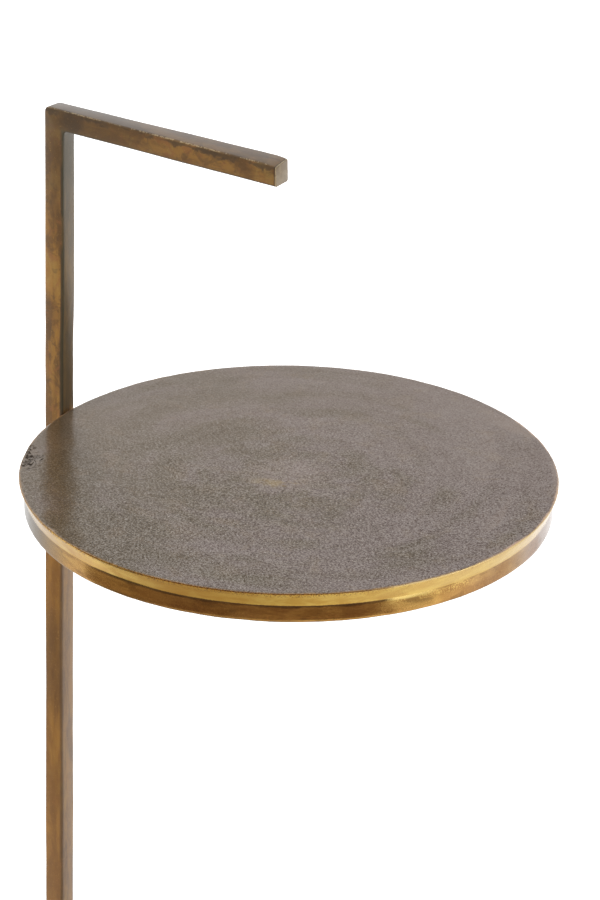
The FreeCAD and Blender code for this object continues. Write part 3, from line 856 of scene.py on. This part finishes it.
def bar_finish():
    """Brushed and browned bronze on the square bar, with streaks that follow it."""
    finish = Finish("browned_bar")
    handle = finish.ramp(finish.z, stem_high.z - 0.016, stem_high.z - 0.010)
    upright = finish.clouds(0.008, 5.0, 0.65, (1, 1, 5), 0.3)
    level = finish.clouds(0.010, 5.0, 0.65, (2.5, 1, 1), 0.5)
    streaks = upright * (1 - handle) + level * handle
    blotches = finish.clouds(0.015, 5.0, 0.65, (1, 1, 1.4), 1.0)
    spots = finish.clouds(0.006, 4.0, 0.65, (1.3, 1, 1.3), 0.8)
    fine = finish.clouds(0.0012, 3.0, 0.6)

    # Distances from the bar's own faces, with the stray of its handle and its swell taken off
    along = (finish.x - stem_low.x) / (stem_high.x - stem_low.x)
    front = finish.y + BAR_WIDTH / 2
    back = front / BAR_WIDTH
    front_lift, back_lift, under_lift = (
        along * (tip - bend) + bend for bend, tip in (FRONT_LIFT, BACK_LIFT, UNDER_LIFT))
    upper = finish.z - stem_high.z - front_lift * (1 - back) - back_lift * back
    under = finish.z - UNDER_HANDLE - under_lift
    swell = finish.ramp(finish.z, *SWELL_START) * finish.fade(finish.z, *SWELL_END)
    inner = finish.x - INNER_FACE - swell * SWELL
    inside = finish.ramp(inner, -0.0012, -0.0004) * (1 - handle)
    lower = finish.fade(finish.z, 0.44, 0.50)
    stains = 1 - finish.math("MAXIMUM", inside, lower) * 0.7

    # Dark knot on the column, the darkened bend with its inner corner, and a painted olive
    # reflection tint on the inner side above the tabletop
    knot = finish.fade(abs(finish.z - 0.333), 0.012, 0.050)
    from_bend = finish.root_of_squares(finish.x - stem_low.x, finish.z - stem_high.z)
    elbow = finish.fade(from_bend + (blotches - 0.5) * 0.08, 0.022, 0.100)
    knee = finish.fade(finish.root_of_squares(
        finish.x - INNER_FACE - 0.0073, upper + 0.0065) + (spots - 0.5) * 0.008, 0.004, 0.011)
    # Painted reflection: the inner side above the tabletop tinted olive-grey
    inner_reflection_tint = inside * finish.ramp(finish.z, 0.500, 0.508)

    # Face that a hand polishes, on top of the handle
    polished = finish.ramp(upper, -0.0012, -0.0004)
    worn = finish.blend(finish.ramp(level, 0.40, 0.60), (62, 45, 23), (84, 64, 38))

    # Long edges: dark in the corner of both near faces, rubbed bright where a hand goes
    upright_edge = finish.root_of_squares(front, inner)
    level_edge = finish.root_of_squares(front, upper)
    under_edge = finish.root_of_squares(front, under)
    line = finish.fade(upright_edge, 0.0010, 0.0023) * (1 - handle) * (1 - lower * 0.45)
    ragged = abs(level_edge - 0.0018) + (spots - 0.5) * 0.010
    stroke = (finish.fade(ragged, 0.0008, 0.0024) * finish.ramp(level, 0.40, 0.52)
              * finish.fade(upper, -0.0011, -0.0005))
    dashes = (finish.fade(level_edge, 0.0004, 0.0009) * finish.ramp(fine, 0.42, 0.54)
              * finish.ramp(spots, 0.46, 0.54))
    under_line = (finish.fade(under_edge, 0.0006, 0.0015)
                  * finish.ramp(finish.x, INNER_FACE, INNER_FACE + 0.004))

    # Ground end of the handle, with a bright edge and a dark line before it
    end = finish.ramp(finish.x, stem_high.x - 0.0006, stem_high.x - 0.0003)
    ground = finish.blend(finish.ramp(spots, 0.4, 0.6), (138, 116, 84), (154, 132, 98))
    tip_line = finish.ramp(finish.x, stem_high.x - 0.0016, stem_high.x - 0.0009)
    tip_edge = (finish.ramp(finish.x, stem_high.x - 0.0007, stem_high.x - 0.0005)
                * finish.fade(finish.x, stem_high.x - 0.0003, stem_high.x - 0.0001))

    colour = finish.coated(
        (108, 72, 20),
        (finish.ramp(streaks, 0.38, 0.62), (150, 106, 36)),
        (finish.ramp(blotches, 0.51, 0.61) * stains * 0.65, (84, 55, 14)),
        (finish.fade(blotches, 0.34, 0.46) * stains * 0.5, (160, 126, 56)),
        (finish.ramp(spots, 0.54, 0.65) * stains * 0.55, (136, 84, 38)),
        (finish.fade(spots, 0.31, 0.42) * stains * 0.45, (68, 50, 24)),
        (lower * (1 - inside) * 0.35, (152, 98, 20)),
        (knot * (1 - inside) * 0.5, (72, 46, 18)),
        (elbow * 0.68, (72, 52, 26)),
        (knee * 0.6, (44, 32, 18)),
        (finish.ramp(fine, 0.60, 0.72) * 0.35, (172, 130, 68)),
        (handle * 0.22, (66, 46, 22)),
        (polished * 0.65, worn),
        (line * finish.ramp(upright, 0.38, 0.52) * 0.85, (40, 29, 16)),
        (stroke * 0.75, (54, 40, 22)),
        (dashes * 0.55, (206, 184, 144)),
        (under_line * 0.7, (52, 37, 20)),
        (inner_reflection_tint * 0.4, (84, 88, 62)),
        (tip_line * 0.7, (46, 34, 20)),
        (end, ground),
        (tip_edge * finish.ramp(fine, 0.38, 0.50) * 0.6, (210, 190, 148)))
    finish.dress(base_color=colour, metallic=0.15, ior=1.65,
                 roughness=0.28 + blotches * 0.12 + (line + stroke) * 0.3,
                 coat_weight=0.50 - lower * (1 - inside) * 0.35, coat_roughness=0.30)
    finish.relief(spots * 0.5 + streaks * 0.4 + fine * 0.15, 0.00022)
    return finish.material


def arm_finish():
    """Flat steel bar browned in the same bath, mill scale still in it."""
    finish = Finish("browned_arm")
    scale = finish.clouds(0.014, 5.0, 0.65, warp=0.5)
    rolled = finish.clouds(0.006, 3.0, 0.6, (8, 1, 1))
    fine = finish.clouds(0.0010, 3.0, 0.6)
    colour = finish.coated(
        (66, 54, 42),
        (finish.ramp(rolled, 0.35, 0.65), (92, 74, 52)),
        (finish.ramp(scale, 0.52, 0.66) * 0.6, (44, 38, 34)),
        (finish.ramp(fine, 0.6, 0.75) * 0.3, (132, 104, 68)))
    finish.dress(base_color=colour, metallic=0.45, roughness=0.38 + scale * 0.2, ior=1.6)
    finish.relief(scale * 0.5 + fine * 0.3, 0.0002)
    return finish.material


def screw_finish():
    """Blackened steel of the screws and washers, bright where a key has rubbed it."""
    finish = Finish("blackened_steel")
    bath = finish.clouds(0.003, 4.0, 0.6)
    rub = finish.clouds(0.0009, 3.0, 0.7)
    colour = finish.coated(
        (52, 50, 50),
        (finish.ramp(bath, 0.35, 0.65), (84, 80, 76)),
        (finish.ramp(rub, 0.62, 0.74) * 0.5, (150, 144, 136)))
    finish.dress(base_color=colour, metallic=0.9, roughness=0.32 + bath * 0.2)
    finish.relief(bath * 0.5 + rub * 0.5, 0.00008)
    return finish.material


def felt_finish():
    """Dark pressed-wool felt."""
    finish = Finish("wool_felt")
    fibres = finish.clouds(0.0007, 5.0, 0.75, (1, 1, 0.6), 1.6)
    tufts = finish.clouds(0.004, 3.0, 0.6)
    colour = finish.coated(
        (38, 34, 30),
        (finish.ramp(fibres, 0.35, 0.68), (84, 76, 68)),
        (finish.ramp(tufts, 0.4, 0.7) * 0.35, (62, 54, 46)))
    finish.dress(base_color=colour, roughness=0.95, sheen_weight=0.4)
    finish.relief(fibres * 0.8 + tufts * 0.4, 0.0004)
    return finish.material


def wear(piece, material):
    piece.data.materials.clear()
    piece.data.materials.append(material)


# Camera, at the height and side that the picture was taken from

CAMERA_DISTANCE = 4.2
CAMERA_SIDE = math.radians(33.48)
CAMERA_RISE = math.radians(25.055)
CAMERA_ROLL = math.radians(0.87)
AIM_RIGHT = 0.0063
AIM_UP = 0.01515
LENS = 284.15


def place_camera():
    middle = Vector((TOP_MIDDLE, 0, top_high.z))
    flat = Vector((math.sin(CAMERA_SIDE), -math.cos(CAMERA_SIDE), 0))
    sight = flat * math.cos(CAMERA_RISE) + Vector((0, 0, math.sin(CAMERA_RISE)))
    across = Vector((math.cos(CAMERA_SIDE), math.sin(CAMERA_SIDE), 0))
    upward = sight.cross(across)
    place = middle + sight * CAMERA_DISTANCE
    aim = middle + across * AIM_RIGHT + upward * AIM_UP
    camera_data = bpy.data.cameras.new("camera")
    camera_data.lens = LENS
    camera_data.sensor_width = 36
    camera_data.clip_end = 50
    camera = bpy.data.objects.new("camera", camera_data)
    scene.collection.objects.link(camera)
    turn = (aim - place).to_track_quat("-Z", "Y").to_matrix()
    camera.rotation_euler = (turn @ Matrix.Rotation(CAMERA_ROLL, 3, "Z")).to_euler()
    camera.location = place
    scene.camera = camera


# Studio: pale floor, white surroundings, soft lamps, and cards that only reflections see

FLOOR_RADIUS = 6
FLOOR_SHADE = (0.82, 0.82, 0.82, 1)
FLOOR_GLOW = 0.45
CAMERA_GLOW = 0.3
SURROUNDING_LIGHT = 0.40
LAMP_AIM = Vector((0, 0, 0.45))


def make_floor():
    floor = new_primitive("studio_floor", bpy.ops.mesh.primitive_circle_add, vertices=96,
                          radius=FLOOR_RADIUS, fill_type="NGON")
    settle(floor)
    material = bpy.data.materials.new("pale_floor")
    shading = Shading(material)
    paper = shading.node("ShaderNodeBsdfDiffuse", sockets={"Color": FLOOR_SHADE})
    whiter = shading.node("ShaderNodeLightPath", "Is Camera Ray") * CAMERA_GLOW
    glow = shading.node("ShaderNodeEmission",
                        sockets={"Color": shading.seen_directly() * FLOOR_GLOW + whiter})
    lit = shading.node("ShaderNodeAddShader", sockets={0: paper, 1: glow})
    clear = shading.node("ShaderNodeBsdfTransparent")
    below = shading.node("ShaderNodeNewGeometry", "Backfacing")
    surface = shading.node("ShaderNodeMixShader", sockets={"Fac": below, 1: lit, 2: clear})
    shading.node("ShaderNodeOutputMaterial", sockets={"Surface": surface})
    wear(floor, material)


def show_in_reflections(card, brightness, colour=(1, 1, 1), rim=None):
    """Lights a card and hides it from all but reflections."""
    material = bpy.data.materials.new(card.name)
    shading = Shading(material)
    if rim:
        place, radius, rim_brightness = rim
        away = shading.distance(place[0], place[1])
        outward = shading.ramp(away, radius * 0.2, radius)
        glow = shading.node("ShaderNodeEmission", sockets={
            "Color": outward * (rim_brightness - brightness) + brightness})
    else:
        glow = shading.node("ShaderNodeEmission", sockets={"Color": (*colour, 1),
                                                           "Strength": brightness})
    shading.node("ShaderNodeOutputMaterial", sockets={"Surface": glow})
    wear(card, material)
    card.visible_camera = False
    card.visible_diffuse = False
    card.visible_shadow = False
    card.visible_transmission = False


def make_card(name, radius, low, high, start, end, brightness, colour):
    """A curved card round the table, from one bearing in degrees to another."""
    card = new_primitive(name, bpy.ops.mesh.primitive_cylinder_add, vertices=120, radius=radius,
                         depth=high - low, end_fill_type="NOTHING",
                         location=(TOP_MIDDLE, 0, (low + high) / 2))

    def outside(part, middle):
        bearing = math.degrees(math.atan2(middle.y, middle.x - TOP_MIDDLE))
        return not start <= bearing <= end

    pick("FACE", outside)
    bpy.ops.mesh.delete(type="FACE")
    settle(card)
    show_in_reflections(card, brightness, colour)


def make_floor_card(name, place, radius, brightness, rim_brightness):
    """A round card on the floor that changes towards its rim, for the bevel's reflections."""
    card = new_primitive(name, bpy.ops.mesh.primitive_circle_add, vertices=64, radius=radius,
                         fill_type="NGON", location=place)
    settle(card)
    show_in_reflections(card, brightness, rim=(place, radius, rim_brightness))


def make_lamp(name, place, side, power):
    """A square lamp that lights the table and shows in no reflection."""
    lamp_data = bpy.data.lights.new(name, "AREA")
    lamp_data.size = side
    lamp_data.energy = power
    lamp = bpy.data.objects.new(name, lamp_data)
    scene.collection.objects.link(lamp)
    lamp.location = place
    lamp.rotation_euler = (LAMP_AIM - Vector(place)).to_track_quat("-Z", "Y").to_euler()
    lamp.visible_glossy = False


def light_surroundings(level):
    """White for the camera and for reflections, and a plain soft level on the object."""
    world = bpy.data.worlds.new("white_studio")
    scene.world = world
    shading = Shading(world)
    strength = shading.seen_directly() * (1 - level) + level
    glow = shading.node("ShaderNodeBackground", sockets={"Color": strength})
    shading.node("ShaderNodeOutputWorld", sockets={"Surface": glow})


place_camera()
scene.view_settings.view_transform = "Standard"
make_floor()
light_surroundings(SURROUNDING_LIGHT)

# Each lamp's place, side and power
make_lamp("window_lamp", (-1.1, -2.2, 1.5), 1.6, 46)
make_lamp("back_lamp", (-1.37, 1.49, 1.9), 0.9, 30)
make_lamp("side_lamp", (1.7, 0.6, 0.30), 0.5, 9)

# Each card's radius, lowest and highest point, first and last bearing, brightness and colour
make_card("dark_card", 0.85, 0.02, 1.5, -104, -14, 0.36, (1.0, 0.75, 0.62))
make_card("brown_card", 0.85, 0.02, 1.5, -146, -104, 0.44, (1.0, 0.80, 0.60))
make_card("bright_card", 0.80, 0.10, 0.30, -9, 3, 1.05, (0.95, 0.97, 1.0))

# Each floor card's place, radius and brightness, in its middle and at its rim
make_floor_card("floor_card", (-0.03, -0.38, 0.010), 0.60, 0.64, 1.0)
make_floor_card("dark_floor_card", (-0.47, -0.50, 0.012), 0.20, 0.12, 0.30)
make_floor_card("left_floor_card", (-0.85, 0.15, 0.011), 0.55, 0.92, 1.05)

tabletop = make_tabletop()
stem = make_stem()
arm = make_arm()
weld = make_weld()
base = make_base()
felt = make_felt()
screws = make_top_screws()
washers = make_top_washers()

top_paint = cast_finish("cast_bronze_top", TOP_MIDDLE, top_high.z, TOP_RADIUS,
                        top_high.z - top_low.z, torn_patch=True)
base_paint = cast_finish("cast_bronze_base", 0, base_high.z, BASE_RADIUS,
                         base_high.z - base_low.z)
bar_paint = bar_finish()
arm_paint = arm_finish()
screw_paint = screw_finish()

for piece, material, node, slot in (
        (tabletop, top_paint, "tabletop", "cast_top"),
        (stem, bar_paint, "stem", "bronzed_bar"),
        (arm, arm_paint, "top_arm", "bronzed_arm"),
        (weld, arm_paint, None, "bronzed_arm"),
        (base, base_paint, "base", "cast_base"),
        (felt, felt_finish(), "base_felt", "felt"),
        (screws, screw_paint, "top_screws", "screw_steel"),
        (washers, screw_paint, "top_washers", "screw_steel")):
    wear(piece, material)
    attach(piece, "root")
    if node:
        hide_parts(node)
wear(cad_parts["base_arm"], arm_paint)
wear(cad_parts["base_screws"], screw_paint)
